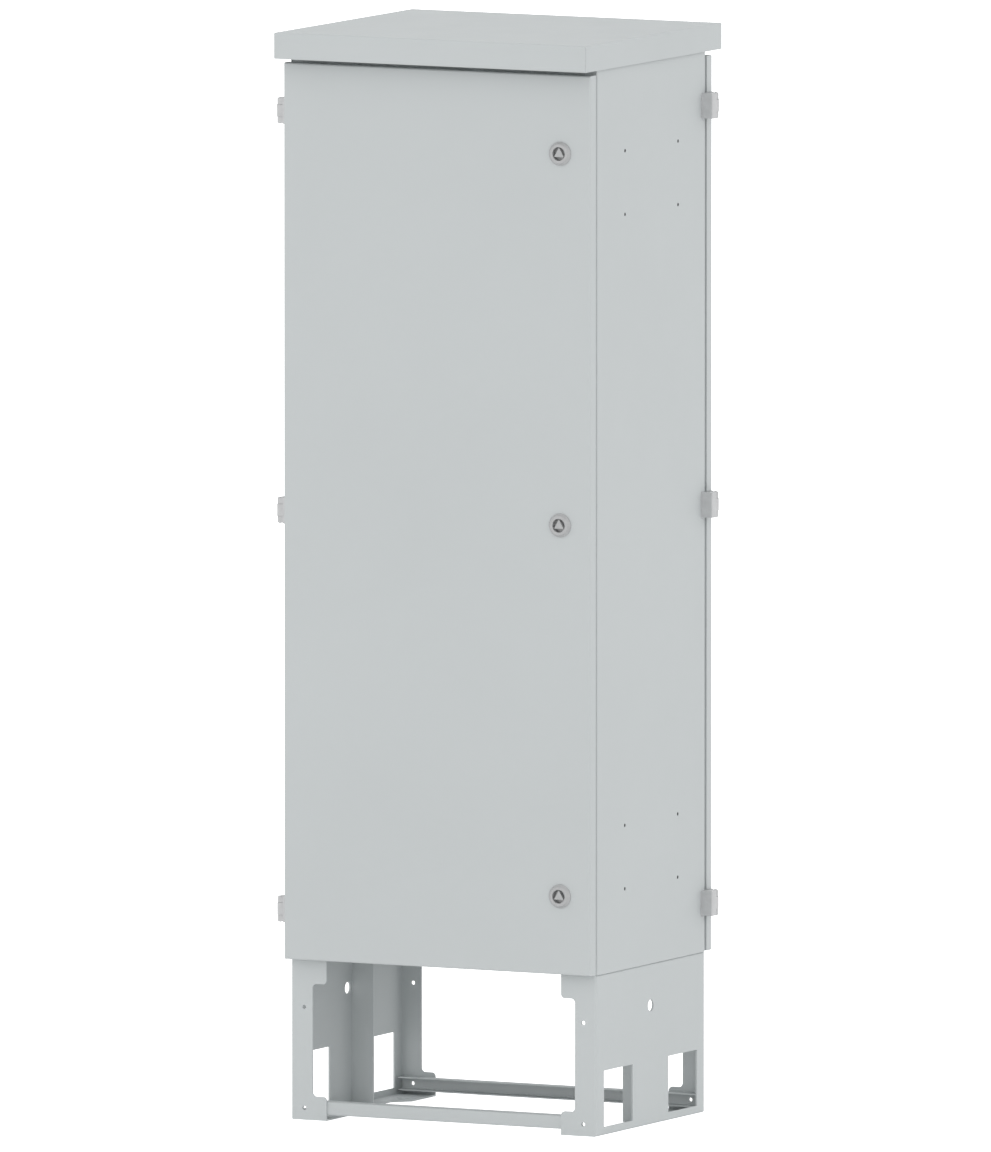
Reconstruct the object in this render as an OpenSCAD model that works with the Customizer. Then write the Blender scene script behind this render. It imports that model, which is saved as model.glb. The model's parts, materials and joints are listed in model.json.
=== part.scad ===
// Roadside utility cabinet: a two-door steel shell on an open plinth, with a
// 19-inch rack inside. Millimetres. The origin is on the ground under the
// centre, +Z is up and the front door faces -Y. The cabinet looks the same
// after half a turn about Z, so each rear part is its front part turned round.

/* [Shell] */
// Width over the side panels and over each door
body_w = 572; // [540:1:760]
// Depth of the side panels
body_d = 400; // [330:1:600]
// Thickness of the shell's sheet
sheet = 2; // [1.5:0.1:2.5]
// Outside radius of a folded edge
bend_r = 3; // [2.8:0.1:4]
// Width of the side panels' returns
side_return = 15; // [10:1:18]
// Width of the frame rail beside and under the door opening
frame_rail = 30; // [26:1:45]
// How far the frame's gutter lip stands out in front of the side panels
gutter_out = 12; // [10:0.5:14]

/* [Roof] */
// Overhang of the roof beyond each side panel
roof_side_over = 4.5; // [2:0.5:20]
// Overhang of the roof beyond each door's face
roof_door_over = 26.5; // [10:0.5:50]
// Height of the roof's lip
roof_lip = 44; // [34:1:70]
// Gap between the top of a door and the roof's lip
roof_gap = 8; // [4:1:14]
// Height of the spacers that hold the roof off the top panel
roof_spacer_h = 15; // [8:1:18]
// Width of the open seam at each corner of the lip
roof_seam = 0.8; // [0.5:0.1:1.2]

/* [Doors] */
// Height of each door
door_h = 1500; // [1200:1:1800]
// Depth of the door's folded edge
door_fold = 20; // [18:1:24]
// Gap between the side panels and the door's folded edge
door_gap = 5; // [4:0.5:7]
// How far the door starts above the shell's lower edge
door_lift = 1; // [1:0.5:6]
// Width of the door's inner safe edge
door_edge = 14; // [8:1:15]
// Width of the gasket
gasket_w = 12; // [8:1:12]
// Gap between the gasket and the gutter lip when the door is shut
gasket_clear = 0.3; // [0.2:0.1:1]
// Width and depth of the door's stiffener
stiffener_w = 60; // [40:1:90]
stiffener_d = 8; // [6:0.5:8]

/* [Hinges] */
// Height of a hinge
hinge_h = 42; // [36:1:70]
// How far a hinge stands out from the side
hinge_out = 21.5; // [19:0.5:28]
// Distance from each end of the door to an outer hinge's centre
hinge_end = 82; // [50:1:120]
// Distance of the pin behind the hinge's outer face
pin_inset = 5; // [5:0.1:5.5]
// Distance of the pin in front of the side panel
pin_front = 6.5; // [6:0.1:7]
// Radius of the hinge pin
pin_r = 2.5; // [2:0.1:3]
// Radial running clearance of the pin in the fixed leaf
pin_clear = 0.06; // [0.02:0.01:0.1]
// Gap above and below the middle knuckle
knuckle_gap = 0.4; // [0.3:0.1:0.8]
// Thickness of the hinge's foot on the door
hinge_foot = 3.5; // [3:0.5:4]
// How far the door leaf's arms stand in from the middle knuckle
arm_set_in = 0.8; // [0.2:0.1:1]

/* [Locks] */
// Distance from the opening's edge to the lock's centre
lock_in = 26.5; // [23.5:0.5:30]
// Distance from each end of the door to an outer lock's centre
lock_end = 131; // [115:1:200]
// Radius of the lock's round flange
lock_flange_r = 20; // [17:0.5:22]
// How far the flange stands out from the door
lock_flange_t = 6; // [4:0.5:8]
// Radius of the key recess
lock_recess_r = 11.5; // [10:0.5:11.5]
// Radius of the lock's barrel
lock_barrel_r = 13.2; // [13:0.1:13.5]
// Width of the lock nut across its flats
lock_nut_af = 31; // [30:0.5:31]
// Radius of the rotor's journal
rotor_r = 8; // [7:0.5:9]
// Radial running clearance of the rotor
rotor_clear = 0.05; // [0.02:0.01:0.1]
// How far the locked cam reaches behind the frame
cam_grip = 13; // [8:0.5:14]
// Width and thickness of the cam
cam_w = 18; // [14:1:22]
cam_t = 3; // [2.5:0.5:4]
// Gap between the cam and the back of the frame
cam_clear = 0.6; // [0.4:0.1:1.5]

/* [Plinth] */
// Height of the plinth
plinth_h = 270; // [220:1:400]
// How far each plinth side stands in from the side panel
plinth_inset = 1; // [0:0.5:4]
// How far the plinth's flanges stand out past the side panels' ends
plinth_proud = 1; // [0:0.5:2]
// Thickness of the plinth's sheet
plinth_t = 3; // [2.5:0.1:4]
// Width of the upright flanges between their wide ends
flange_w = 40; // [34:1:50]
// Width of the flanges' wide ends
flange_end_w = 66; // [56:1:80]
// Height of the wide ends
flange_end_h = 40; // [36:1:60]
// Corner radius of the flanges
flange_r = 7; // [3:1:10]
// Length of the wide ends of the ground flange
foot_end = 88; // [80:1:100]
// Width, height and lower edge of a duct cut-out
duct_w = 107; // [80:1:110]
duct_h = 94.5; // [80:0.5:120]
duct_z = 13.5; // [10:0.5:30]
// Distance between the centreline and a duct cut-out
duct_in = 65.5; // [62:0.5:70]
// Radius and height of the lifting hole
lift_r = 10; // [8:0.5:14]
lift_z = 200; // [180:1:210]
// Radius of the cover fixing holes, their distance from the side and heights
fix_r = 3.5; // [2.5:0.5:4.5]
fix_in = 24.5; // [18:0.5:28]
fix_low = 20; // [18:0.5:22]
fix_high = 189.5; // [170:0.5:200]
// Radius of the ground anchor holes and their places from the centre
anchor_r = 7; // [6:0.5:8]
anchor_in = 35; // [28:1:40]
anchor_y = 126; // [122:1:130]
// Height, depth and lower edge of the front and rear bars
bar_h = 22.5; // [20:0.5:30]
bar_d = 20; // [15:1:25]
bar_z = 9.5; // [6:0.5:12]
// Width of the brace angle and distance of its web from the centreline
brace_w = 40; // [30:1:46]
brace_y = 15.5; // [12:0.5:18]

/* [Rack] */
// Clear width between the 19-inch posts
rack_clear = 450; // [449:0.5:452]
// Distance between the columns of rack holes
rack_pitch = 465.1; // [464:0.1:467]
// Number of rack units
rack_units = 31; // [20:1:31]
// Distance of the post screws from the centreline
post_y = 98; // [80:1:120]
// Width of the post's foot and of its stiffening lip
post_foot = 24; // [20:1:30]
post_lip = 12; // [8:1:20]
// Distance from a door's end to the first post screw, and to the next one
post_screw_end = 134; // [124:1:160]
post_screw_pitch = 106; // [60:1:150]
// Radius of a post screw
post_screw_r = 2.9; // [2.5:0.1:3.5]

/* [Cable entry] */
// Width and depth of the cut-out in the floor
entry_w = 340; // [240:1:360]
entry_d = 180; // [120:1:190]
// How far the gland plate laps onto the floor
gland_lap = 18; // [15:1:20]
// Radius of a cable grommet's hole
grommet_r = 22; // [15:1:25]

/* [Hidden] */
$fn = 48;
steel_grey = [0.776, 0.796, 0.800];
zinc = [0.66, 0.68, 0.70];
dark_zinc = [0.50, 0.52, 0.54];
black_steel = [0.16, 0.16, 0.17];
gasket_black = [0.10, 0.10, 0.11];
rubber_black = [0.14, 0.14, 0.15];

half_w = body_w / 2;
half_d = body_d / 2;
door_z0 = plinth_h + door_lift;
door_z1 = door_z0 + door_h;
door_zc = (door_z0 + door_z1) / 2;
door_back = half_d + door_gap;
door_face = door_back + door_fold;
roof_z0 = door_z1 + roof_gap;
roof_z1 = roof_z0 + roof_lip;
shell_z1 = roof_z1 - sheet - roof_spacer_h;
shell_h = shell_z1 - plinth_h;
roof_w = body_w + 2 * roof_side_over;
roof_d = 2 * (door_face + roof_door_over);

// The frame lies behind the side panels' returns.
frame_front = half_d - sheet;
frame_back = frame_front - sheet;
open_w = body_w - 2 * frame_rail;
open_z0 = door_z0 + frame_rail;
open_z1 = door_z1 - frame_rail;
gutter_face = half_d + gutter_out;
lip_w = open_w + 2 * sheet;
lip_h = open_z1 - open_z0 + 2 * sheet;
inner_w = body_w - 2 * sheet;
pan_lip = 20;
notch_low = 12;
notch_high = shell_z1 - open_z1 + 3;

// Hinge pin, measured from the centre of the cabinet.
pin_x = half_w + hinge_out - pin_inset;
pin_y = half_d + pin_front;
arm_h = hinge_h / 4;
arm_r = pin_inset - arm_set_in;
leaf_corner = 2.5;
leaf_end = pin_y - pin_inset - knuckle_gap;
leaf_start = half_d - 16;
neck_reach = sqrt(pow(hinge_out - pin_inset - hinge_foot - knuckle_gap, 2) - pow(pin_inset, 2));
hinge_z = [door_z0 + hinge_end, door_zc, door_z1 - hinge_end];
hinge_screw_r = 2.4;
hinge_screw_l = 11;
hinge_screw_z = hinge_h / 4;
leaf_screw_y = frame_back - 1.7 * hinge_screw_r - 0.7;
door_screw_y = pin_y + 10;

// Lock, measured along its axis from the door's outer face.
lock_x = open_w / 2 - lock_in;
lock_z = [door_z0 + lock_end, door_zc, door_z1 - lock_end];
lock_barrel_l = 22;
lock_nut_t = 5;
flange_rim = 1.5;
flange_bevel = 4;
recess_depth = 6;
rotor_head_t = 2.5;
rotor_end_gap = 0.1;
pillar_r = 10.4;
pillar_h = recess_depth + lock_flange_t - 1.5;
cam_face = door_face - frame_back + cam_clear;
cam_l = lock_in + cam_grip;
shank_w = 9;
cam_screw_r = 3;
cam_screw_l = 11;

plinth_bend_r = plinth_t + 1;
plinth_x = half_w - plinth_inset;
plinth_y = half_d + plinth_proud;
fix_x = plinth_x - fix_in;
anchor_x = plinth_x - anchor_in;
floor_bolt = [plinth_x - 20, half_d - 50];
floor_bolt_r = 5;
floor_nut_t = 8;
roof_bolt = [half_w - 60, half_d - 50];
roof_bolt_r = 4;

rack_unit = 44.45;
rack_hole = 9.5;
rack_hole_z = [6.35, 22.225, 38.1];
post_h = rack_units * rack_unit + 24;
post_z0 = (open_z0 + open_z1 - post_h) / 2;
post_face = post_y + post_foot / 2;
post_screw_z = [for (s = [-1, 1], k = [0, 1])
    door_zc + s * (door_h / 2 - post_screw_end - k * post_screw_pitch)];

gland_w = entry_w + 2 * gland_lap;
gland_d = entry_d + 2 * gland_lap;
gland_screw_r = 2.5;
earth_xy = [plinth_x - flange_end_w - 20, half_d - 60];
earth_r = 4;
earth_af = 13;

// ---- shared shapes ----

// Turns a front part round to make its rear twin.
module rear_twin() {
    rotate([0, 0, 180]) children();
}

// Repeats children at four corners, mirrored about both centrelines.
module at_corners(x, y) {
    for (i = [-1, 1], j = [-1, 1])
        translate([i * x, j * y, 0]) children();
}

// Rectangle of width w that stands on the x axis, with round top corners.
module round_top(w, h, r) {
    translate([-w / 2, 0]) square([w, h - r]);
    translate([r - w / 2, 0]) square([w - 2 * r, h]);
    for (s = [-1, 1])
        translate([s * (w / 2 - r), h - r]) circle(r);
}

// Section of a folded channel that opens towards -y.
module channel_section(w, h, t, r) {
    difference() {
        round_top(w, h, r);
        translate([0, -t]) round_top(w - 2 * t, h, r - t);
    }
}

// Rectangle in the first quadrant with a round corner at the origin.
module round_corner(a, b, r) {
    translate([r, 0]) square([a - r, b]);
    translate([0, r]) square([a, b - r]);
    translate([r, r]) circle(r);
}

// Section of a folded angle with its corner at the origin.
module angle_section(a, b, t, r) {
    difference() {
        round_corner(a, b, r);
        translate([t, t]) round_corner(a, b, r - t);
    }
}

// Block with its four top edges rounded.
module round_block(w, d, h, r) {
    intersection() {
        translate([0, d / 2, 0]) rotate([90, 0, 0]) linear_extrude(d) round_top(w, h, r);
        translate([-w / 2, 0, 0]) rotate([90, 0, 90]) linear_extrude(w) round_top(d, h, r);
    }
}

// Folded tray that opens towards -z, with its rim at z = 0.
module tray(w, d, h, t, r) {
    difference() {
        round_block(w, d, h, r);
        translate([0, 0, -t]) round_block(w - 2 * t, d - 2 * t, h, r - t);
    }
}

// Flat rectangular ring in the xy plane.
module ring_plate(w, d, rim, t) {
    linear_extrude(t) difference() {
        square([w, d], center = true);
        square([w - 2 * rim, d - 2 * rim], center = true);
    }
}

// Hexagon prism of width af across its flats.
module hexagon(af, h) {
    cylinder(r = af / sqrt(3), h = h, $fn = 6);
}

// Hexagon-head bolt that points up, with the underside of its head at z = 0.
module hex_bolt(r, l) {
    translate([0, 0, -r]) hexagon(3.2 * r, r);
    cylinder(r = r, h = l);
}

// Socket-head screw that points up, with the underside of its head at z = 0.
module socket_screw(r, l) {
    difference() {
        union() {
            translate([0, 0, -1.2 * r]) cylinder(r = 1.7 * r, h = 1.2 * r);
            cylinder(r = r, h = l);
        }
        translate([0, 0, -1.2 * r - 1]) hexagon(1.6 * r, 1 + 0.7 * r);
    }
}

// Puts children on the front door's outer face, with their z axis outwards.
module on_door(x, z) {
    translate([x, -door_face, z]) rotate([90, 0, 0]) children();
}

// Puts children on the outside of the front door's hinge side, looking at the
// hinge from above: x runs outwards from the side panel and y to the front.
module at_front_hinge(z) {
    translate([-half_w, 0, z]) rotate([0, 0, 180]) children();
}

// ---- roof ----

module roof_cover() {
    color(steel_grey) difference() {
        translate([0, 0, roof_z0]) tray(roof_w, roof_d, roof_lip, sheet, bend_r);
        at_corners(roof_w / 2, roof_d / 2)
            translate([-roof_seam, -roof_seam, roof_z0 - 1])
                cube([2 * roof_seam, 2 * roof_seam, roof_lip - bend_r + 1]);
    }
}

module roof_spacers() {
    color(zinc) at_corners(roof_bolt[0], roof_bolt[1])
        translate([0, 0, shell_z1]) difference() {
            cylinder(r = 9, h = roof_spacer_h);
            translate([0, 0, -1]) cylinder(r = roof_bolt_r + 0.1, h = roof_spacer_h + 2);
        }
}

module roof_bolts() {
    color(dark_zinc) at_corners(roof_bolt[0], roof_bolt[1])
        translate([0, 0, shell_z1 - sheet]) hex_bolt(roof_bolt_r, sheet + roof_spacer_h - 1);
}

// ---- shell ----

module top_panel() {
    color(steel_grey) difference() {
        translate([0, 0, shell_z1 - pan_lip])
            tray(inner_w, 2 * frame_back, pan_lip, sheet, bend_r);
        at_corners(roof_bolt[0], roof_bolt[1])
            translate([0, 0, shell_z1 - sheet - 1]) cylinder(r = roof_bolt_r + 0.5, h = sheet + 2);
    }
}

module side_panel_right() {
    color(steel_grey) difference() {
        translate([half_w - side_return, 0, plinth_h]) linear_extrude(shell_h)
            rotate(-90) channel_section(body_d, side_return, sheet, bend_r);
        // The returns stop short of the panel's lower and upper ends.
        for (j = [-1, 1], end = [[plinth_h - 1, notch_low + 1],
                [shell_z1 - notch_high, notch_high + 1]])
            translate([half_w - side_return - 1, j * half_d - sheet - 1, end[0]])
                cube([side_return - bend_r + 1, 2 * sheet + 2, end[1]]);
        for (y = [-post_y, post_y], z = post_screw_z)
            translate([half_w - sheet - 1, y, z])
                rotate([0, 90, 0]) cylinder(r = post_screw_r + 0.1, h = sheet + 2);
        for (z = hinge_z, s = [-1, 1])
            translate([half_w - sheet - 1, leaf_screw_y, z + s * hinge_screw_z])
                rotate([0, 90, 0]) cylinder(r = hinge_screw_r + 0.1, h = sheet + 2);
    }
}

module side_panel_left() {
    rear_twin() side_panel_right();
}

module floor_panel() {
    color(steel_grey) difference() {
        translate([0, 0, plinth_h + pan_lip]) mirror([0, 0, 1])
            tray(inner_w, 2 * frame_back, pan_lip, sheet, bend_r);
        translate([0, 0, plinth_h + sheet / 2])
            cube([entry_w, entry_d, sheet + 2], center = true);
        at_corners(floor_bolt[0], floor_bolt[1])
            translate([0, 0, plinth_h - 1]) cylinder(r = floor_bolt_r + 0.5, h = sheet + 2);
        at_gland_screws() cylinder(r = gland_screw_r + 0.2, h = sheet + 2);
        translate([earth_xy[0], earth_xy[1], plinth_h - 1])
            cylinder(r = earth_r + 0.2, h = sheet + 2);
    }
}

// Flat ring behind the returns, fitted round the gutter.
module front_frame() {
    color(steel_grey) difference() {
        translate([bend_r - half_w, -frame_front, plinth_h])
            cube([body_w - 2 * bend_r, sheet, shell_h]);
        translate([-lip_w / 2, -frame_front - 1, open_z0 - sheet])
            cube([lip_w, sheet + 2, lip_h]);
    }
}

// Lip round the door opening that leads rain down and meets the gasket.
module front_gutter() {
    color(steel_grey) translate([0, -frame_back, (open_z0 + open_z1) / 2])
        rotate([90, 0, 0]) ring_plate(lip_w, lip_h, sheet, gutter_face - frame_back);
}

module rear_frame() {
    rear_twin() front_frame();
}

module rear_gutter() {
    rear_twin() front_gutter();
}

// ---- cable entry ----

module at_gland_screws() {
    x = entry_w / 2 + gland_lap / 2;
    y = entry_d / 2 + gland_lap / 2;
    for (i = [-1, 1], j = [-1, 0, 1])
        translate([i * x, j * y, plinth_h - 1]) children();
    for (j = [-1, 1])
        translate([0, j * y, plinth_h - 1]) children();
}

module at_grommets() {
    for (i = [-1, 0, 1], j = [-1, 1])
        translate([i * entry_w / 3, j * entry_d / 4, plinth_h + sheet]) children();
}

module gland_plate() {
    color(zinc) difference() {
        translate([-gland_w / 2, -gland_d / 2, plinth_h + sheet])
            cube([gland_w, gland_d, sheet]);
        at_grommets() translate([0, 0, -1]) cylinder(r = grommet_r, h = sheet + 2);
        at_gland_screws() translate([0, 0, sheet]) cylinder(r = gland_screw_r + 0.2, h = sheet + 2);
    }
}

module gland_plate_screws() {
    color(dark_zinc) at_gland_screws()
        translate([0, 0, 1 + 2 * sheet]) mirror([0, 0, 1]) hex_bolt(gland_screw_r, 2 * sheet + 3);
}

// Each grommet grips the plate's edge in a groove and has a thin membrane.
module cable_grommets() {
    groove_r = grommet_r - 0.1;
    color(rubber_black) at_grommets() rotate_extrude() polygon([[0, 0], [0, 1.5],
        [groove_r - 5, 1.5], [groove_r - 5, sheet + 3], [groove_r + 2, sheet + 3],
        [groove_r + 3, sheet + 2], [groove_r + 3, sheet], [groove_r, sheet],
        [groove_r, 0]]);
}

module earth_stud() {
    color([0.72, 0.60, 0.32]) translate([earth_xy[0], earth_xy[1], plinth_h]) {
        translate([0, 0, -4]) hexagon(earth_af, 4);
        cylinder(r = earth_r, h = 26);
        translate([0, 0, sheet]) hexagon(earth_af, 6.5);
    }
}

// ---- plinth ----

// Notch open at y = 0, with round inner corners and rounded mouth edges.
module flange_notch(l, depth, r) {
    translate([-l / 2, -1]) square([l, depth - r + 1]);
    translate([r - l / 2, -1]) square([l - 2 * r, depth + 1]);
    for (s = [-1, 1]) {
        translate([s * (l / 2 - r), depth - r]) circle(r);
        difference() {
            translate([s * (l / 2 + r / 2), r / 2 - 0.5]) square([r, r + 1], center = true);
            translate([s * (l / 2 + r), r]) circle(r);
        }
    }
}

module plinth_side_right() {
    rim_x = plinth_x - flange_end_w;
    notch_d = flange_end_w - flange_w;
    notch_l = plinth_h - 2 * flange_end_h - 1;
    foot_in = plinth_y - foot_end;
    color(steel_grey) difference() {
        translate([rim_x, 0, plinth_h / 2]) rotate([90, 0, 90])
            tray(2 * plinth_y, plinth_h, flange_end_w, plinth_t, plinth_bend_r);
        // Narrow middle of the front and rear flanges.
        translate([rim_x, plinth_y + 1, flange_end_h + notch_l / 2]) rotate([90, 0, 0])
            linear_extrude(2 * plinth_y + 2) rotate(-90) flange_notch(notch_l, notch_d, flange_r);
        // Narrow middle of the ground and top flanges, with sloping ends.
        translate([rim_x, 0, -1]) linear_extrude(plinth_h + 2)
            polygon([[-1, -foot_in], [0, -foot_in], [notch_d, notch_d - foot_in],
                [notch_d, foot_in - notch_d], [0, foot_in], [-1, foot_in]]);
        for (j = [-1, 1]) {
            translate([plinth_x - plinth_t - 5, j * (duct_in + duct_w / 2) - duct_w / 2, duct_z])
                cube([plinth_t + 10, duct_w, duct_h]);
            translate([anchor_x, j * anchor_y, -1]) cylinder(r = anchor_r, h = plinth_t + 2);
            translate([floor_bolt[0], j * floor_bolt[1], plinth_h - plinth_t - 1])
                cylinder(r = floor_bolt_r + 0.5, h = plinth_t + 2);
        }
        translate([plinth_x - plinth_t - 1, 0, lift_z])
            rotate([0, 90, 0]) cylinder(r = lift_r, h = plinth_t + 2);
        for (z = [fix_low, fix_high])
            translate([fix_x, plinth_y + 1, z])
                rotate([90, 0, 0]) cylinder(r = fix_r, h = 2 * plinth_y + 2);
    }
}

module plinth_side_left() {
    rear_twin() plinth_side_right();
}

// Upright angle inside the plinth side, on one side of the lifting hole.
// A weld fills the outside of its fold.
module plinth_brace_right() {
    color(steel_grey) translate([plinth_x - plinth_t, -brace_y, plinth_bend_r])
        linear_extrude(plinth_h - 2 * plinth_bend_r) rotate(180) {
            angle_section(brace_w, brace_w + 2, plinth_t, plinth_bend_r);
            square(plinth_t);
        }
}

module plinth_brace_left() {
    rear_twin() plinth_brace_right();
}

// Channel behind the flanges, open to the inside of the plinth.
module plinth_bar_front() {
    bar_l = 2 * (plinth_x - plinth_t) - 2 * plinth_t;
    color(steel_grey) difference() {
        translate([-bar_l / 2, bar_d + plinth_t - plinth_y, bar_z + bar_h / 2])
            rotate([90, 0, 90]) linear_extrude(bar_l)
                rotate(90) channel_section(bar_h, bar_d, sheet, bend_r);
        for (s = [-1, 1])
            translate([s * fix_x, plinth_t + 5 - plinth_y, fix_low])
                rotate([90, 0, 0]) cylinder(r = fix_r, h = 10);
    }
}

module plinth_bar_rear() {
    rear_twin() plinth_bar_front();
}

module plinth_bolts() {
    color(dark_zinc) at_corners(floor_bolt[0], floor_bolt[1])
        translate([0, 0, plinth_h + sheet]) mirror([0, 0, 1])
            hex_bolt(floor_bolt_r, sheet + plinth_t + floor_nut_t + 4);
}

module plinth_nuts() {
    color(dark_zinc) at_corners(floor_bolt[0], floor_bolt[1])
        translate([0, 0, plinth_h - plinth_t - floor_nut_t]) difference() {
            hexagon(3.2 * floor_bolt_r, floor_nut_t);
            translate([0, 0, -1]) cylinder(r = floor_bolt_r, h = floor_nut_t + 2);
        }
}

// ---- rack ----

// Upright with a foot on the side panel and square holes on the rack pitch.
module rack_post_rear_right() {
    wall_x = half_w - sheet;
    web_w = wall_x - rack_clear / 2;
    color(zinc) difference() {
        translate([0, post_face, post_z0]) linear_extrude(post_h) {
            translate([wall_x, 0]) rotate(180)
                angle_section(web_w - bend_r, post_foot, sheet, bend_r);
            translate([rack_clear / 2, 0]) mirror([0, 1])
                angle_section(web_w - bend_r, post_lip, sheet, bend_r);
        }
        translate([rack_pitch / 2, post_face + 1, post_z0 + 12]) rotate([90, 0, 0])
            linear_extrude(sheet + 2)
                for (u = [0 : rack_units - 1], z = rack_hole_z)
                    translate([0, u * rack_unit + z]) square(rack_hole, center = true);
        for (z = post_screw_z)
            translate([wall_x - sheet - 1, post_y, z])
                rotate([0, 90, 0]) cylinder(r = post_screw_r + 0.4, h = sheet + 2);
    }
}

module rack_post_rear_left() {
    mirror([1, 0, 0]) rack_post_rear_right();
}

module rack_post_front_right() {
    mirror([0, 1, 0]) rack_post_rear_right();
}

module rack_post_front_left() {
    rear_twin() rack_post_rear_right();
}

module rack_screws() {
    color(black_steel) for (s = [0, 180], y = [-post_y, post_y], z = post_screw_z)
        rotate([0, 0, s]) translate([half_w - 2 * sheet, y, z])
            rotate([0, 90, 0]) socket_screw(post_screw_r, 2 * sheet - 0.4);
}

// ---- hinges ----

// Leaf on the side panel: a block whose middle knuckle holds the pin. The
// knuckle's flat front reaches in until it just clears the swinging foot.
module fixed_leaf() {
    block_y = leaf_end - leaf_start;
    knuckle_h = hinge_h / 2 - 2 * knuckle_gap;
    knuckle_x = hinge_out - pin_inset;
    difference() {
        union() {
            translate([0, 0, -hinge_h / 2]) linear_extrude(hinge_h) {
                square([hinge_out - leaf_corner, block_y]);
                translate([0, leaf_corner]) square([hinge_out, block_y - 2 * leaf_corner]);
                for (y = [leaf_corner, block_y - leaf_corner])
                    translate([hinge_out - leaf_corner, y]) circle(leaf_corner);
            }
            translate([0, 0, -knuckle_h / 2]) linear_extrude(knuckle_h) {
                translate([knuckle_x - neck_reach, block_y - 2 * leaf_corner])
                    square([neck_reach + pin_inset, pin_y - leaf_end + 2 * leaf_corner]);
                translate([knuckle_x - neck_reach, pin_y - leaf_start - 1])
                    square([neck_reach, pin_inset + 1]);
                translate([knuckle_x, pin_y - leaf_start]) circle(pin_inset);
            }
        }
        translate([knuckle_x, pin_y - leaf_start, -hinge_h])
            cylinder(r = pin_r + pin_clear, h = 2 * hinge_h);
        for (s = [-1, 1])
            translate([-1, leaf_screw_y - leaf_start, s * hinge_screw_z])
                rotate([0, 90, 0]) cylinder(r = hinge_screw_r, h = hinge_screw_l + 2);
    }
}

// Leaf on the door: a foot with an arm at the top and one at the bottom.
// Its y axis is measured from the pin.
module door_leaf() {
    foot_y = door_face - bend_r - pin_y;
    difference() {
        union() {
            translate([0, -0.5, -hinge_h / 2]) cube([hinge_foot, foot_y + 0.5, hinge_h]);
            for (s = [-1, 1])
                translate([0, 0, s * (hinge_h - arm_h) / 2 - arm_h / 2])
                    linear_extrude(arm_h) {
                        square([hinge_out - pin_inset, arm_r]);
                        translate([hinge_out - pin_inset, 0]) circle(arm_r);
                    }
        }
        translate([hinge_out - pin_inset, 0, -hinge_h]) cylinder(r = pin_r, h = 2 * hinge_h);
        for (s = [-1, 1])
            translate([-1, door_screw_y - pin_y, s * hinge_screw_z])
                rotate([0, 90, 0]) cylinder(r = hinge_screw_r, h = hinge_foot + 2);
    }
}

module front_hinge_fixed_leaves() {
    color(zinc) for (z = hinge_z)
        at_front_hinge(z) translate([0, leaf_start, 0]) fixed_leaf();
}

module rear_hinge_fixed_leaves() {
    rear_twin() front_hinge_fixed_leaves();
}

module hinge_fixed_screws() {
    color(dark_zinc) for (turn = [0, 180], z = hinge_z, s = [-1, 1])
        rotate([0, 0, turn]) translate([half_w - sheet, leaf_screw_y, z + s * hinge_screw_z])
            rotate([0, 90, 0]) socket_screw(hinge_screw_r, sheet + hinge_screw_l);
}

module front_hinge_door_leaves() {
    color(zinc) for (z = hinge_z)
        at_front_hinge(z) translate([0, pin_y, 0]) door_leaf();
}

module front_hinge_pins() {
    color([0.8, 0.81, 0.82]) for (z = hinge_z)
        translate([-pin_x, -pin_y, z - hinge_h / 2 - 1]) cylinder(r = pin_r, h = hinge_h + 2);
}

module front_hinge_door_screws() {
    color(dark_zinc) for (z = hinge_z, s = [-1, 1])
        at_front_hinge(z) translate([-sheet, door_screw_y, s * hinge_screw_z])
            rotate([0, 90, 0]) socket_screw(hinge_screw_r, sheet + hinge_foot - 0.5);
}

// ---- doors ----

// Folded tray with a safe edge turned in behind its rim.
module front_door() {
    color(steel_grey) difference() {
        translate([0, -door_back, door_zc]) rotate([90, 0, 0]) {
            tray(body_w, door_h, door_fold, sheet, bend_r);
            ring_plate(body_w, door_h, door_edge, sheet);
        }
        for (z = lock_z)
            on_door(lock_x, z) translate([0, 0, -sheet - 1])
                cylinder(r = lock_barrel_r, h = sheet + 2);
        for (z = hinge_z, s = [-1, 1])
            translate([-half_w - 1, -door_screw_y, z + s * hinge_screw_z])
                rotate([0, 90, 0]) cylinder(r = hinge_screw_r + 0.1, h = sheet + 2);
    }
}

// Hat section down the middle of the door's inner face.
module front_door_stiffener() {
    stiffener_h = door_h - 2 * (frame_rail + 50);
    hat_w = stiffener_w - 24;
    color(steel_grey) translate([0, sheet - door_face, door_zc - stiffener_h / 2])
        linear_extrude(stiffener_h) {
            channel_section(hat_w, stiffener_d, sheet / 2, sheet);
            for (s = [-1, 1])
                translate([s * (hat_w / 2 + 5.5), sheet / 4])
                    square([13, sheet / 2], center = true);
        }
}

module front_door_gasket() {
    depth = door_face - sheet - gutter_face - gasket_clear;
    color(gasket_black) translate([0, -gutter_face - gasket_clear, (open_z0 + open_z1) / 2])
        rotate([90, 0, 0])
            ring_plate(open_w + sheet + gasket_w, open_z1 - open_z0 + sheet + gasket_w,
                gasket_w, depth);
}

// ---- locks ----

// Barrel with a bevelled round flange, a key recess and a bearing bore.
module lock_housing() {
    difference() {
        rotate_extrude() polygon([[0, -lock_barrel_l], [lock_barrel_r, -lock_barrel_l],
            [lock_barrel_r, 0], [lock_flange_r, 0], [lock_flange_r, flange_rim],
            [lock_flange_r - flange_bevel, lock_flange_t], [0, lock_flange_t]]);
        translate([0, 0, -recess_depth])
            cylinder(r = lock_recess_r, h = recess_depth + lock_flange_t + 1);
        translate([0, 0, -lock_barrel_l - 1])
            cylinder(r = rotor_r + rotor_clear, h = lock_barrel_l);
    }
}

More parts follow.
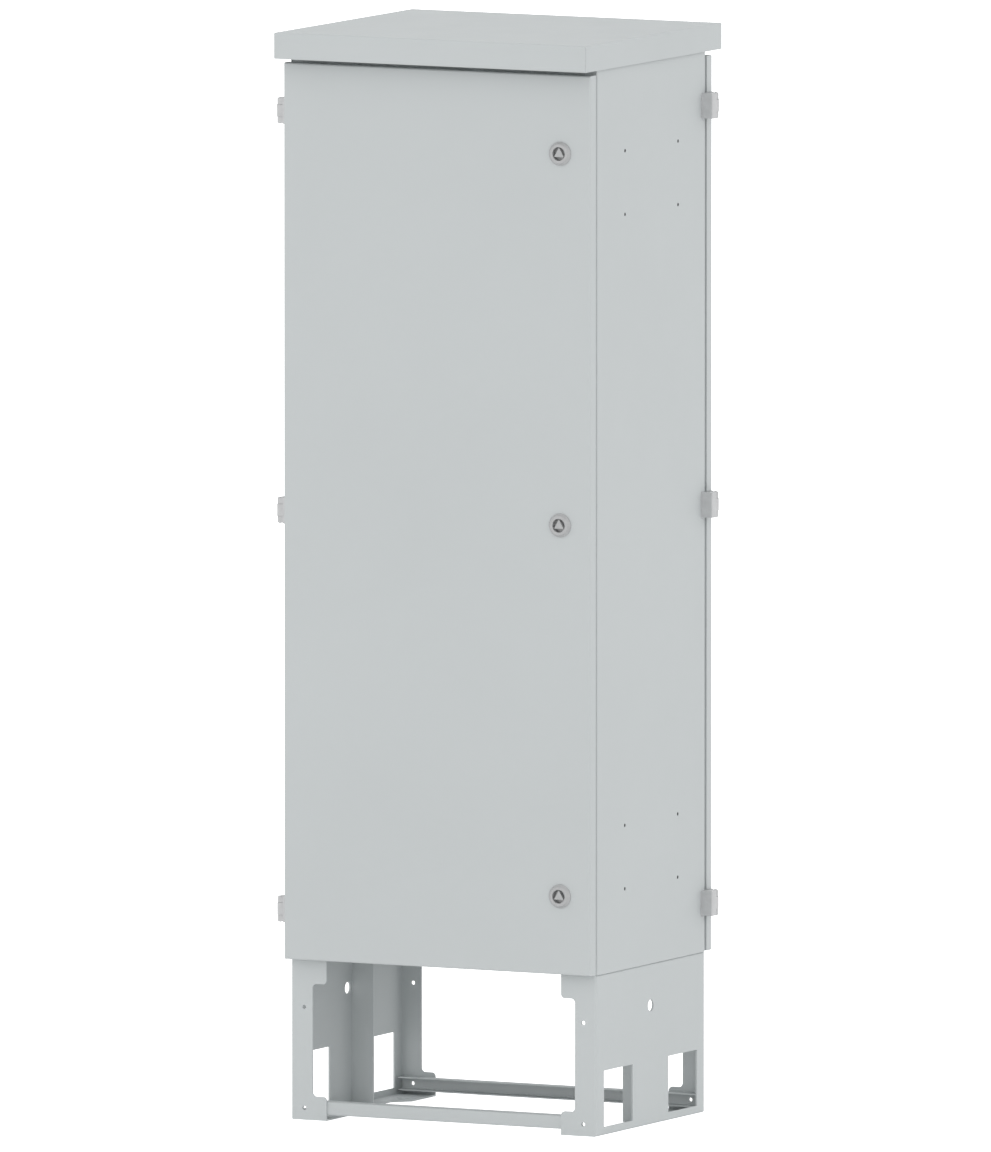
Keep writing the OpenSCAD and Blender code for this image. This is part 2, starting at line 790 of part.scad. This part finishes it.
module lock_nut() {
    difference() {
        hexagon(lock_nut_af, lock_nut_t);
        translate([0, 0, -1]) cylinder(r = lock_barrel_r, h = lock_nut_t + 2);
    }
}

// Rotor with a three-sided key pillar, one corner up. At rest its cam hangs
// down, clear of the frame.
module lock_rotor() {
    head_z = rotor_end_gap - recess_depth;
    shank_end = cam_face + cam_t;
    difference() {
        union() {
            translate([0, 0, head_z]) cylinder(r = lock_recess_r - 0.4, h = rotor_head_t);
            translate([0, 0, head_z]) intersection() {
                rotate(90) cylinder(r = pillar_r, h = pillar_h, $fn = 3);
                cylinder(r = pillar_r - 0.8, h = pillar_h);
            }
            translate([0, 0, -cam_face]) cylinder(r = rotor_r, h = cam_face + head_z);
            translate([-shank_w / 2, -shank_w / 2, -shank_end]) cube([shank_w, shank_w, cam_t + 1]);
        }
        translate([0, 0, -shank_end - 1]) cylinder(r = cam_screw_r, h = cam_screw_l + 2);
    }
}

// Flat cam on the rotor's square shank, held by a washer and a screw.
module lock_cam() {
    round_y = cam_l - cam_w / 2;
    translate([0, 0, -cam_face - cam_t]) linear_extrude(cam_t) difference() {
        union() {
            circle(cam_w / 2 + 1);
            translate([0, -round_y / 2]) square([cam_w, round_y], center = true);
            translate([0, -round_y]) circle(cam_w / 2);
        }
        square(shank_w + 0.1, center = true);
    }
    translate([0, 0, -cam_face - cam_t]) mirror([0, 0, 1]) {
        difference() {
            cylinder(r = cam_w / 2 - 1, h = 1.2);
            translate([0, 0, -1]) cylinder(r = cam_screw_r + 0.2, h = 4);
        }
        translate([0, 0, 1.2]) mirror([0, 0, 1]) hex_bolt(cam_screw_r, cam_screw_l);
    }
}

module front_lock_housings() {
    color(zinc) for (z = lock_z) on_door(lock_x, z) lock_housing();
}

module front_lock_nuts() {
    color(dark_zinc) for (z = lock_z)
        on_door(lock_x, z) translate([0, 0, -sheet - lock_nut_t]) lock_nut();
}

module front_lock_bottom_rotor() {
    color(zinc) on_door(lock_x, lock_z[0]) lock_rotor();
}

module front_lock_middle_rotor() {
    color(zinc) on_door(lock_x, lock_z[1]) lock_rotor();
}

module front_lock_top_rotor() {
    color(zinc) on_door(lock_x, lock_z[2]) lock_rotor();
}

module front_lock_bottom_cam() {
    color(dark_zinc) on_door(lock_x, lock_z[0]) lock_cam();
}

module front_lock_middle_cam() {
    color(dark_zinc) on_door(lock_x, lock_z[1]) lock_cam();
}

module front_lock_top_cam() {
    color(dark_zinc) on_door(lock_x, lock_z[2]) lock_cam();
}

module rear_door() { rear_twin() front_door(); }
module rear_door_stiffener() { rear_twin() front_door_stiffener(); }
module rear_door_gasket() { rear_twin() front_door_gasket(); }
module rear_hinge_door_leaves() { rear_twin() front_hinge_door_leaves(); }
module rear_hinge_pins() { rear_twin() front_hinge_pins(); }
module rear_hinge_door_screws() { rear_twin() front_hinge_door_screws(); }
module rear_lock_housings() { rear_twin() front_lock_housings(); }
module rear_lock_nuts() { rear_twin() front_lock_nuts(); }
module rear_lock_bottom_rotor() { rear_twin() front_lock_bottom_rotor(); }
module rear_lock_middle_rotor() { rear_twin() front_lock_middle_rotor(); }
module rear_lock_top_rotor() { rear_twin() front_lock_top_rotor(); }
module rear_lock_bottom_cam() { rear_twin() front_lock_bottom_cam(); }
module rear_lock_middle_cam() { rear_twin() front_lock_middle_cam(); }
module rear_lock_top_cam() { rear_twin() front_lock_top_cam(); }

roof_cover();
roof_spacers();
roof_bolts();
top_panel();
side_panel_left();
side_panel_right();
floor_panel();
front_frame();
rear_frame();
front_gutter();
rear_gutter();
gland_plate();
gland_plate_screws();
cable_grommets();
plinth_side_left();
plinth_side_right();
plinth_brace_left();
plinth_brace_right();
plinth_bar_front();
plinth_bar_rear();
plinth_bolts();
plinth_nuts();
rack_post_front_left();
rack_post_front_right();
rack_post_rear_left();
rack_post_rear_right();
rack_screws();
earth_stud();
front_hinge_fixed_leaves();
rear_hinge_fixed_leaves();
hinge_fixed_screws();
front_door();
front_door_stiffener();
front_door_gasket();
front_hinge_door_leaves();
front_hinge_pins();
front_hinge_door_screws();
front_lock_housings();
front_lock_nuts();
rear_door();
rear_door_stiffener();
rear_door_gasket();
rear_hinge_door_leaves();
rear_hinge_pins();
rear_hinge_door_screws();
rear_lock_housings();
rear_lock_nuts();
front_lock_bottom_rotor();
front_lock_bottom_cam();
front_lock_middle_rotor();
front_lock_middle_cam();
front_lock_top_rotor();
front_lock_top_cam();
rear_lock_bottom_rotor();
rear_lock_bottom_cam();
rear_lock_middle_rotor();
rear_lock_middle_cam();
rear_lock_top_rotor();
rear_lock_top_cam();
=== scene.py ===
import json
import math

import bmesh
import bpy
from mathutils import Matrix, Vector


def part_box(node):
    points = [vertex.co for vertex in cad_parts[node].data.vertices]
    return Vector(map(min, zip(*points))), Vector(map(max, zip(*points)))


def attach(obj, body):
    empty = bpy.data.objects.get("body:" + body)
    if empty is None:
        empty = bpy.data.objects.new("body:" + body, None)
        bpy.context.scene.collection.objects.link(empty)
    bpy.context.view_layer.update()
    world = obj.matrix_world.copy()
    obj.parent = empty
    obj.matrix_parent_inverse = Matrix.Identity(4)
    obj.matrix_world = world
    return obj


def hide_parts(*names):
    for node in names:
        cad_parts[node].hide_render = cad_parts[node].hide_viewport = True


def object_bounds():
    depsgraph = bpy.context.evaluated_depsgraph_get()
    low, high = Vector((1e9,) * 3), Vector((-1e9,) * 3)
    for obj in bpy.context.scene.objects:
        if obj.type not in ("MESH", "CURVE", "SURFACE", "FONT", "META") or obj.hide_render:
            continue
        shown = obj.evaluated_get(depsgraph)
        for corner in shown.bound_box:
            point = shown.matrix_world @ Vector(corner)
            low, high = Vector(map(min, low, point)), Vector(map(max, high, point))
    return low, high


# Looks for the roadside utility cabinet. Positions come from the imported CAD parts, in
# metres and in their own frame, and the small sizes below are in metres too.
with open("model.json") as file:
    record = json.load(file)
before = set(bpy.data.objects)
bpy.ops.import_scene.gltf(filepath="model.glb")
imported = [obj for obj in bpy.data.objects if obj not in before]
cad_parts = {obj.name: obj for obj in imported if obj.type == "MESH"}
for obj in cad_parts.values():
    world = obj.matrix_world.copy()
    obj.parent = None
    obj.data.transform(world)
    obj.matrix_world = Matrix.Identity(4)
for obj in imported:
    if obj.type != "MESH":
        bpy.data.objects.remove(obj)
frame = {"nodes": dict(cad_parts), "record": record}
nodes = frame["nodes"]
cad_low, cad_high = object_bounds()


# ---- node helpers ----

# The Mix node's sockets for colours: its two inputs and its output.
MIX_FIRST, MIX_SECOND = 6, 7
MIX_RESULT = 2


class Shader:
    """A node material with one Principled shader and small building blocks."""

    def __init__(self, name):
        self.material = bpy.data.materials.new(name)
        self.material.use_nodes = True
        self.tree = self.material.node_tree
        self.tree.nodes.clear()
        out = self.add("ShaderNodeOutputMaterial")
        self.bsdf = self.add("ShaderNodeBsdfPrincipled")
        self.tree.links.new(self.bsdf.outputs["BSDF"], out.inputs["Surface"])
        self.coords = self.add("ShaderNodeTexCoord").outputs["Object"]

    def add(self, kind, **settings):
        node = self.tree.nodes.new(kind)
        for key, value in settings.items():
            setattr(node, key, value)
        return node

    def link(self, source, node, socket):
        self.tree.links.new(source, node.inputs[socket])

    def stretched(self, scale):
        """Coordinates scaled by axis, for marks that are longer one way."""
        mapping = self.add("ShaderNodeMapping")
        mapping.inputs["Scale"].default_value = scale
        self.link(self.coords, mapping, "Vector")
        return mapping.outputs["Vector"]

    def noise(self, scale, detail=2.0, roughness=0.5, vector=None):
        node = self.add("ShaderNodeTexNoise")
        node.inputs["Scale"].default_value = scale
        node.inputs["Detail"].default_value = detail
        node.inputs["Roughness"].default_value = roughness
        self.link(vector or self.coords, node, "Vector")
        return node.outputs["Fac"]

    def cells(self, scale):
        """Flat cells, each with its own value from 0 to 1."""
        node = self.add("ShaderNodeTexVoronoi")
        node.inputs["Scale"].default_value = scale
        self.link(self.coords, node, "Vector")
        split = self.add("ShaderNodeSeparateColor")
        self.link(node.outputs["Color"], split, "Color")
        return split.outputs["Red"]

    def ranged(self, value, low, high, start=0.3, end=0.7):
        """Maps start..end to low..high, and keeps to it."""
        node = self.add("ShaderNodeMapRange")
        limits = {"From Min": start, "From Max": end, "To Min": low, "To Max": high}
        for socket, number in limits.items():
            node.inputs[socket].default_value = number
        self.link(value, node, "Value")
        return node.outputs["Result"]

    def mixed(self, factor, first, second):
        """Mixes two colours, each a tuple or another node's output."""
        node = self.add("ShaderNodeMix", data_type="RGBA")
        self.link(factor, node, "Factor")
        for socket, colour in ((MIX_FIRST, first), (MIX_SECOND, second)):
            if isinstance(colour, tuple):
                node.inputs[socket].default_value = (*colour, 1.0)
            else:
                self.tree.links.new(colour, node.inputs[socket])
        return node.outputs[MIX_RESULT]

    def bump(self, height, strength, distance):
        node = self.add("ShaderNodeBump")
        node.inputs["Strength"].default_value = strength
        node.inputs["Distance"].default_value = distance
        self.link(height, node, "Height")
        return node.outputs["Normal"]

    def finish(self, colour, roughness, normal, metallic=0.0, specular=0.5):
        self.link(colour, self.bsdf, "Base Color")
        self.link(roughness, self.bsdf, "Roughness")
        self.link(normal, self.bsdf, "Normal")
        self.bsdf.inputs["Metallic"].default_value = metallic
        self.bsdf.inputs["Specular IOR Level"].default_value = specular
        return self.material


def shaded(colour, share):
    """A colour made darker or lighter."""
    return tuple(c * share for c in colour)


# ---- finishes ----

def powder_coat():
    """Light-grey polyester powder coat: faint clouding, fine orange peel."""
    s = Shader("powder_coat")
    base = (0.554, 0.583, 0.588)
    clouds = s.ranged(s.noise(scale=2.6, detail=3.0), 0.0, 1.0)
    colour = s.mixed(clouds, shaded(base, 0.985), shaded(base, 1.012))
    flecks = s.ranged(s.noise(scale=2600.0, detail=1.0), 0.0, 1.0, start=0.62, end=0.74)
    colour = s.mixed(flecks, colour, shaded(base, 0.955))
    rough = s.ranged(s.noise(scale=14.0, detail=4.0), 0.58, 0.68)
    peel = s.noise(scale=620.0, detail=2.0, roughness=0.45)
    normal = s.bump(peel, strength=0.16, distance=0.00018)
    return s.finish(colour, rough, normal, specular=0.2)


def galvanised():
    """Zinc-coated strip: soft spangle cells under a rolled grain."""
    s = Shader("galvanised")
    base = (0.60, 0.62, 0.635)
    colour = s.mixed(s.cells(scale=110.0), shaded(base, 0.92), shaded(base, 1.03))
    rolled = s.stretched((6.0, 6.0, 0.35))
    grain = s.noise(scale=60.0, detail=3.0, roughness=0.6, vector=rolled)
    normal = s.bump(s.noise(scale=900.0, detail=2.0), strength=0.10, distance=0.00012)
    return s.finish(colour, s.ranged(grain, 0.36, 0.52), normal, metallic=0.9)


def plated():
    """Zinc-plated fasteners and cams, with fine handling marks."""
    s = Shader("zinc_plated")
    base = (0.53, 0.545, 0.56)
    clouds = s.ranged(s.noise(scale=180.0, detail=3.0), 0.0, 1.0)
    colour = s.mixed(clouds, shaded(base, 0.88), shaded(base, 1.06))
    drawn = s.stretched((1.0, 0.12, 1.0))
    marks = s.noise(scale=420.0, detail=2.0, roughness=0.6, vector=drawn)
    normal = s.bump(marks, strength=0.18, distance=0.00006)
    return s.finish(colour, s.ranged(marks, 0.26, 0.44), normal, metallic=1.0)


def cast(name, level, metallic):
    """Die-cast zinc: satin, with the fine grain of a tumbled casting."""
    s = Shader(name)
    base = (level, level * 1.01, level * 1.02)
    clouds = s.ranged(s.noise(scale=90.0, detail=4.0), 0.0, 1.0)
    colour = s.mixed(clouds, shaded(base, 0.94), shaded(base, 1.04))
    grain = s.noise(scale=1900.0, detail=2.0, roughness=0.6)
    normal = s.bump(grain, strength=0.22, distance=0.00008)
    rough = s.ranged(s.noise(scale=240.0, detail=2.0), 0.34, 0.46)
    return s.finish(colour, rough, normal, metallic=metallic)


def black_oxide():
    """Blackened screw heads, oiled, with a few rubbed spots."""
    s = Shader("black_steel")
    base = (0.030, 0.031, 0.034)
    rubbed = s.ranged(s.noise(scale=300.0, detail=3.0), 0.0, 1.0, start=0.5, end=0.8)
    colour = s.mixed(rubbed, base, shaded(base, 2.2))
    rough = s.ranged(rubbed, 0.42, 0.3, start=0.0, end=1.0)
    normal = s.bump(s.noise(scale=1500.0, detail=2.0), strength=0.15, distance=0.00005)
    return s.finish(colour, rough, normal, metallic=0.7)


def ground_steel():
    """Hinge pins, with grinding rings round the axis."""
    s = Shader("ground_steel")
    base = (0.62, 0.63, 0.64)
    turned_marks = s.stretched((1.0, 1.0, 40.0))
    rings = s.noise(scale=60.0, detail=2.0, roughness=0.6, vector=turned_marks)
    colour = s.mixed(s.ranged(rings, 0.0, 1.0), shaded(base, 0.9), base)
    normal = s.bump(rings, strength=0.12, distance=0.00003)
    return s.finish(colour, s.ranged(rings, 0.18, 0.32), normal, metallic=1.0)


def rubber(name, level):
    """Black EPDM with a dull skin and a trace of bloom."""
    s = Shader(name)
    base = (level, level, level * 1.06)
    bloom = s.noise(scale=45.0, detail=4.0, roughness=0.6)
    bloom = s.ranged(bloom, 0.0, 1.0, start=0.45, end=0.75)
    colour = s.mixed(bloom, base, shaded(base, 1.7))
    rough = s.ranged(s.noise(scale=30.0, detail=3.0), 0.62, 0.82)
    skin = s.noise(scale=2200.0, detail=2.0, roughness=0.6)
    normal = s.bump(skin, strength=0.35, distance=0.00012)
    return s.finish(colour, rough, normal, specular=0.35)


def brass():
    """Earth stud, lightly tarnished."""
    s = Shader("brass")
    bright, dull = (0.70, 0.50, 0.22), (0.48, 0.33, 0.15)
    tarnish = s.noise(scale=130.0, detail=4.0, roughness=0.6)
    tarnish = s.ranged(tarnish, 0.0, 1.0, start=0.4, end=0.7)
    rough = s.ranged(tarnish, 0.28, 0.5, start=0.0, end=1.0)
    normal = s.bump(s.noise(scale=700.0, detail=2.0), strength=0.15, distance=0.00006)
    return s.finish(s.mixed(tarnish, bright, dull), rough, normal, metallic=1.0)


finishes = {
    "painted_steel": powder_coat(),
    "galvanised_steel": galvanised(),
    "zinc_hardware": plated(),
    "black_steel": black_oxide(),
    "zinc_casting": cast("zinc_casting", level=0.57, metallic=0.35),
    "pin_steel": ground_steel(),
    "gasket_rubber": rubber("gasket_rubber", level=0.018),
    "grommet_rubber": rubber("grommet_rubber", level=0.024),
    "earth_brass": brass(),
}
# The locks' castings are a little darker than the hinges'.
lock_casting = cast("lock_casting", level=0.46, metallic=0.3)
slot_of = {row["node"]: row["material_slot"] for row in frame["record"]["subparts"]}
for name, node in nodes.items():
    is_lock = "_lock_" in name and slot_of[name] == "zinc_casting"
    node.data.materials.clear()
    node.data.materials.append(lock_casting if is_lock else finishes[slot_of[name]])


# ---- detailed pieces ----

SHARP_EDGE_DEG = 40


def add_piece(name, mesh, slot, body, node):
    """Makes a piece from a finished mesh and lets it stand for a CAD node."""
    data = bpy.data.meshes.new(name)
    bmesh.ops.recalc_face_normals(mesh, faces=mesh.faces)
    mesh.to_mesh(data)
    mesh.free()
    data.polygons.foreach_set("use_smooth", [True] * len(data.polygons))
    data.set_sharp_from_angle(angle=math.radians(SHARP_EDGE_DEG))
    data.materials.append(finishes[slot])
    piece = bpy.data.objects.new(name, data)
    bpy.context.scene.collection.objects.link(piece)
    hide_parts(node)
    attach(piece, body)


def bridge(mesh, rings):
    """Joins each ring of vertices to the next, all the way round."""
    for first, second in zip(rings, rings[1:]):
        for k in range(len(first)):
            after = (k + 1) % len(first)
            corners = dict.fromkeys((first[k], first[after], second[after], second[k]))
            mesh.faces.new(tuple(corners))


def arc(centre, radius, start, end, steps):
    """Points on an arc in a plane, with its angles in degrees."""
    turns = [math.radians(start + (end - start) * k / steps) for k in range(steps + 1)]
    x, y = centre
    return [(x + radius * math.cos(t), y + radius * math.sin(t)) for t in turns]


TURNED_STEPS = 48


def turned(mesh, place, section, cut=None):
    """Turns a section round the upright axis through place.

    Each point of the section is its radius and its height over place. A radius
    of 0 is one vertex. cut may change a radius: it gets radius, angle, height."""
    rings = []
    for radius, level in section:
        if radius == 0.0:
            rings.append([mesh.verts.new(place + Vector((0.0, 0.0, level)))] * TURNED_STEPS)
            continue
        ring = []
        for k in range(TURNED_STEPS):
            angle = math.tau * k / TURNED_STEPS
            reach = cut(radius, angle, level) if cut else radius
            ring.append(mesh.verts.new(place + Vector(
                (reach * math.cos(angle), reach * math.sin(angle), level))))
        rings.append(ring)
    bridge(mesh, rings)


# Door seal: the strip with its rounded edges, the bulb on it, and the turn of its
# middle line at the door's corners.
SEAL_WIDTH = 0.012
SEAL_BASE = 0.0032
SEAL_ROUND = 0.0008
SEAL_BULB = 0.0047
SEAL_CORNER = 0.009
CORNER_STEPS = 8
EDGE_STEPS = 3
BULB_STEPS = 20


def seal_section(depth):
    """Outline of a bulb seal: a strip on the door and a round bulb on the strip.

    Each point is its distance across the strip and its distance off the door."""
    half = SEAL_WIDTH / 2
    bulb_z = depth - SEAL_BULB
    foot = math.degrees(math.asin((bulb_z - SEAL_BASE) / SEAL_BULB))
    points = [(half, 0.0)]
    points += arc((half - SEAL_ROUND, SEAL_BASE - SEAL_ROUND), SEAL_ROUND, 0, 90, EDGE_STEPS)
    points += arc((0.0, bulb_z), SEAL_BULB, -foot, 180 + foot, BULB_STEPS)
    points += arc((SEAL_ROUND - half, SEAL_BASE - SEAL_ROUND), SEAL_ROUND, 90, 180,
                  EDGE_STEPS)
    return points + [(-half, 0.0)]


def door_seal(door, facing):
    """Bulb seal round the inside of a door, from the box of its CAD ring."""
    node = f"{door}_gasket"
    low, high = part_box(node)
    base_y = low.y if facing > 0 else high.y
    section = seal_section(high.y - low.y)
    reach_x = (high.x - low.x) / 2 - SEAL_WIDTH / 2 - SEAL_CORNER
    reach_z = (high.z - low.z) / 2 - SEAL_WIDTH / 2 - SEAL_CORNER
    centre_x, centre_z = (low.x + high.x) / 2, (low.z + high.z) / 2
    mesh = bmesh.new()
    rings = []
    for corner, (side_x, side_z) in enumerate(((1, 1), (-1, 1), (-1, -1), (1, -1))):
        for step in range(CORNER_STEPS + 1):
            turn = math.radians(90 * (corner + step / CORNER_STEPS))
            rings.append([mesh.verts.new((
                centre_x + side_x * reach_x + (SEAL_CORNER + across) * math.cos(turn),
                base_y + facing * off,
                centre_z + side_z * reach_z + (SEAL_CORNER + across) * math.sin(turn)))
                for across, off in section])
    bridge(mesh, rings + rings[:1])
    add_piece(f"{door}_seal", mesh, "gasket_rubber", door, node)


door_seal("front_door", 1)
door_seal("rear_door", -1)

# Cable grommet: its hole, the lip on the gland plate, the tiers up to its rim, and the
# skin at its middle.
GROMMET_COLUMNS, GROMMET_ROWS = 3, 2
GROMMET_HOLE = 0.022
GROMMET_LIP = 0.003
GROMMET_FIT = 0.0001
GROMMET_TIERS = 4
GROMMET_RIM = 0.004
RIM_CENTRE = 0.0032
RIM_ROUND = 0.0012
GLAND_PLATE = 0.002
SKIN_LOW, SKIN_HIGH = 0.0002, 0.0014
TIER_LEAN = 0.0004
EDGE_BEVEL = 0.0003


def grommet_section(height):
    """Stepped membrane grommet: a dished skin, three steps, a lip and a groove.

    Each point is its distance from the axis and its height over the floor."""
    edge = GROMMET_HOLE - GROMMET_FIT
    lip = edge + GROMMET_LIP - GROMMET_FIT
    run = (edge - GROMMET_RIM) / GROMMET_TIERS
    rise = (height - SKIN_LOW - SKIN_HIGH) / GROMMET_TIERS
    points = [(0.0, SKIN_HIGH)]
    for tier in range(1, GROMMET_TIERS):
        level = SKIN_HIGH + tier * rise
        points += [(tier * run - TIER_LEAN, level - rise), (tier * run, level)]
    points += arc((edge - RIM_CENTRE, height - RIM_ROUND), RIM_ROUND, 150, 60, 4)
    points += arc((lip - RIM_ROUND, height - RIM_ROUND - SKIN_LOW), RIM_ROUND, 80, 0, 5)
    points += [(lip, GLAND_PLATE), (edge, GLAND_PLATE), (edge, EDGE_BEVEL)]
    return points + [(edge - EDGE_BEVEL, 0.0), (0.0, SKIN_LOW)]


def cable_grommets():
    """Six grommets on the gland plate, spread as their CAD box says."""
    node = "cable_grommets"
    low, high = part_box(node)
    lip = GROMMET_HOLE + GROMMET_LIP
    section = grommet_section(high.z - low.z)
    mesh = bmesh.new()
    for column in range(GROMMET_COLUMNS):
        for row in range(GROMMET_ROWS):
            x = low.x + lip + column * (high.x - low.x - 2 * lip) / (GROMMET_COLUMNS - 1)
            y = low.y + lip + row * (high.y - low.y - 2 * lip) / (GROMMET_ROWS - 1)
            turned(mesh, Vector((x, y, low.z)), section)
    add_piece("stepped_grommets", mesh, "grommet_rubber", "cabinet", node)


cable_grommets()

# Earth stud: its thread, the hexagons of head and nut, and the nut's two ends over
# the head's underside.
STUD_RADIUS = 0.004
THREAD_PITCH = 0.00125
THREAD_DEPTH = 0.0007
THREAD_STEPS = 8
HEX_FLAT = 0.0065
HEX_TURN = math.radians(60)
HEX_CORNER = HEX_FLAT / math.cos(HEX_TURN / 2)
HEX_BEVEL = 0.0006
STUD_HEAD = 0.004
NUT_FROM, NUT_TO = 0.006, 0.0125


def hex_cut(radius, angle, _):
    """Keeps a radius inside a hexagon with a corner on the x axis."""
    from_flat = angle % HEX_TURN - HEX_TURN / 2
    return min(radius, HEX_FLAT / math.cos(from_flat))


def thread_cut(radius, angle, level):
    """Cuts a V thread into a radius."""
    turn = (level / THREAD_PITCH - angle / math.tau) % 1.0
    return min(radius, STUD_RADIUS - THREAD_DEPTH * abs(2 * turn - 1))


def hexagon(mesh, place, start, end):
    """Hexagon with its corners bevelled to a circle at both ends."""
    turned(mesh, place, [
        (0.0, start), (HEX_FLAT, start), (HEX_CORNER, start + HEX_BEVEL),
        (HEX_CORNER, end - HEX_BEVEL), (HEX_FLAT, end), (0.0, end)], hex_cut)


def earth_stud():
    """Threaded brass stud with its head under the floor and a nut on top."""
    node = "earth_stud"
    low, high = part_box(node)
    place = Vector(((low.x + high.x) / 2, (low.y + high.y) / 2, low.z))
    mesh = bmesh.new()
    hexagon(mesh, place, 0.0, STUD_HEAD)
    hexagon(mesh, place, NUT_FROM, NUT_TO)
    turned(mesh, place, [
        (0.0, STUD_HEAD / 2), (STUD_RADIUS, STUD_HEAD / 2),
        (STUD_RADIUS, NUT_TO - HEX_BEVEL), (0.0, NUT_TO - HEX_BEVEL)])
    top = high.z - low.z
    start = NUT_TO - 2 * HEX_BEVEL
    steps = round((top - start) / THREAD_PITCH * THREAD_STEPS)
    levels = [start + (top - start) * k / steps for k in range(steps + 1)]
    section = [(min(STUD_RADIUS, STUD_RADIUS - THREAD_DEPTH + top - level), level)
               for level in levels]
    turned(mesh, place, [(0.0, start)] + section + [(0.0, top)], thread_cut)
    add_piece("threaded_earth_stud", mesh, "earth_brass", "cabinet", node)


earth_stud()


# ---- floor ----

# FLOOR_LIGHT is the floor's glow as a light. The camera sees it at full strength.
FLOOR_GREYS = (0.77, 0.79)
FLOOR_LIGHT = 0.22
FLOOR_REACH = 60.0
WHITE = (1.0, 1.0, 1.0, 1.0)


def pale_floor():
    """White to the camera, and a little dimmer as a light under the cabinet."""
    s = Shader("pale_floor")
    speck = s.ranged(s.noise(scale=1.5, detail=2.0), 0.0, 1.0)
    colour = s.mixed(speck, *((grey, grey, grey) for grey in FLOOR_GREYS))
    normal = s.bump(s.noise(scale=40.0, detail=1.0), strength=0.02, distance=0.0002)
    material = s.finish(colour, s.ranged(speck, 0.88, 0.92), normal, specular=0.0)
    seen = s.add("ShaderNodeLightPath").outputs["Is Camera Ray"]
    glow = s.ranged(seen, FLOOR_LIGHT, 1.0, start=0.0, end=1.0)
    s.link(glow, s.bsdf, "Emission Strength")
    s.bsdf.inputs["Emission Color"].default_value = WHITE
    return material


floor_mesh = bpy.data.meshes.new("floor")
floor_mesh.from_pydata(
    [(x * FLOOR_REACH, y * FLOOR_REACH, 0.0) for x, y in ((-1, -1), (1, -1), (1, 1), (-1, 1))],
    [], [(0, 1, 2, 3)])
floor = bpy.data.objects.new("floor", floor_mesh)
floor_mesh.materials.append(pale_floor())
bpy.context.scene.collection.objects.link(floor)


# ---- light ----

# Soft studio light all round, with less of it from straight above.
HORIZON_LIGHT = 1.24
ZENITH_LIGHT = 0.80
world = bpy.data.worlds.new("soft_studio")
world.use_nodes = True
tree = world.node_tree
direction = tree.nodes.new("ShaderNodeTexCoord")
split = tree.nodes.new("ShaderNodeSeparateXYZ")
height = tree.nodes.new("ShaderNodeMapRange")
height.inputs["To Min"].default_value = HORIZON_LIGHT
height.inputs["To Max"].default_value = ZENITH_LIGHT
tree.links.new(direction.outputs["Generated"], split.inputs["Vector"])
tree.links.new(split.outputs["Z"], height.inputs["Value"])
tree.links.new(height.outputs["Result"], tree.nodes["Background"].inputs["Strength"])
tree.nodes["Background"].inputs["Color"].default_value = WHITE
bpy.context.scene.world = world
bpy.context.scene.view_settings.view_transform = "Standard"


# ---- camera ----

# A far camera with a long lens, because the picture is close to a parallel view.
AZIMUTH = math.radians(26.93)
ELEVATION = math.radians(5.89)
# LENS and SENSOR are in millimetres. The aim is across and up the picture.
LENS = 1200.0
SENSOR = 36.0
DISTANCE = 64.0
FAR_END = 400.0
AIM_ACROSS, AIM_UP = -0.0044, 0.9005
back = Vector((math.sin(AZIMUTH) * math.cos(ELEVATION),
               -math.cos(AZIMUTH) * math.cos(ELEVATION), math.sin(ELEVATION)))
right = Vector((math.cos(AZIMUTH), math.sin(AZIMUTH), 0.0))
up = back.cross(right)
middle = Vector((0.0, 0.0, cad_high.z / 2))
target = right * AIM_ACROSS + up * AIM_UP + back * middle.dot(back)
lens_data = bpy.data.cameras.new("camera")
lens_data.lens = LENS
lens_data.sensor_width = SENSOR
lens_data.clip_end = FAR_END
camera = bpy.data.objects.new("camera", lens_data)
bpy.context.scene.collection.objects.link(camera)
camera.matrix_world = Matrix.Translation(target + back * DISTANCE) @ Matrix(
    (right, up, back)).transposed().to_4x4()
bpy.context.scene.camera = camera
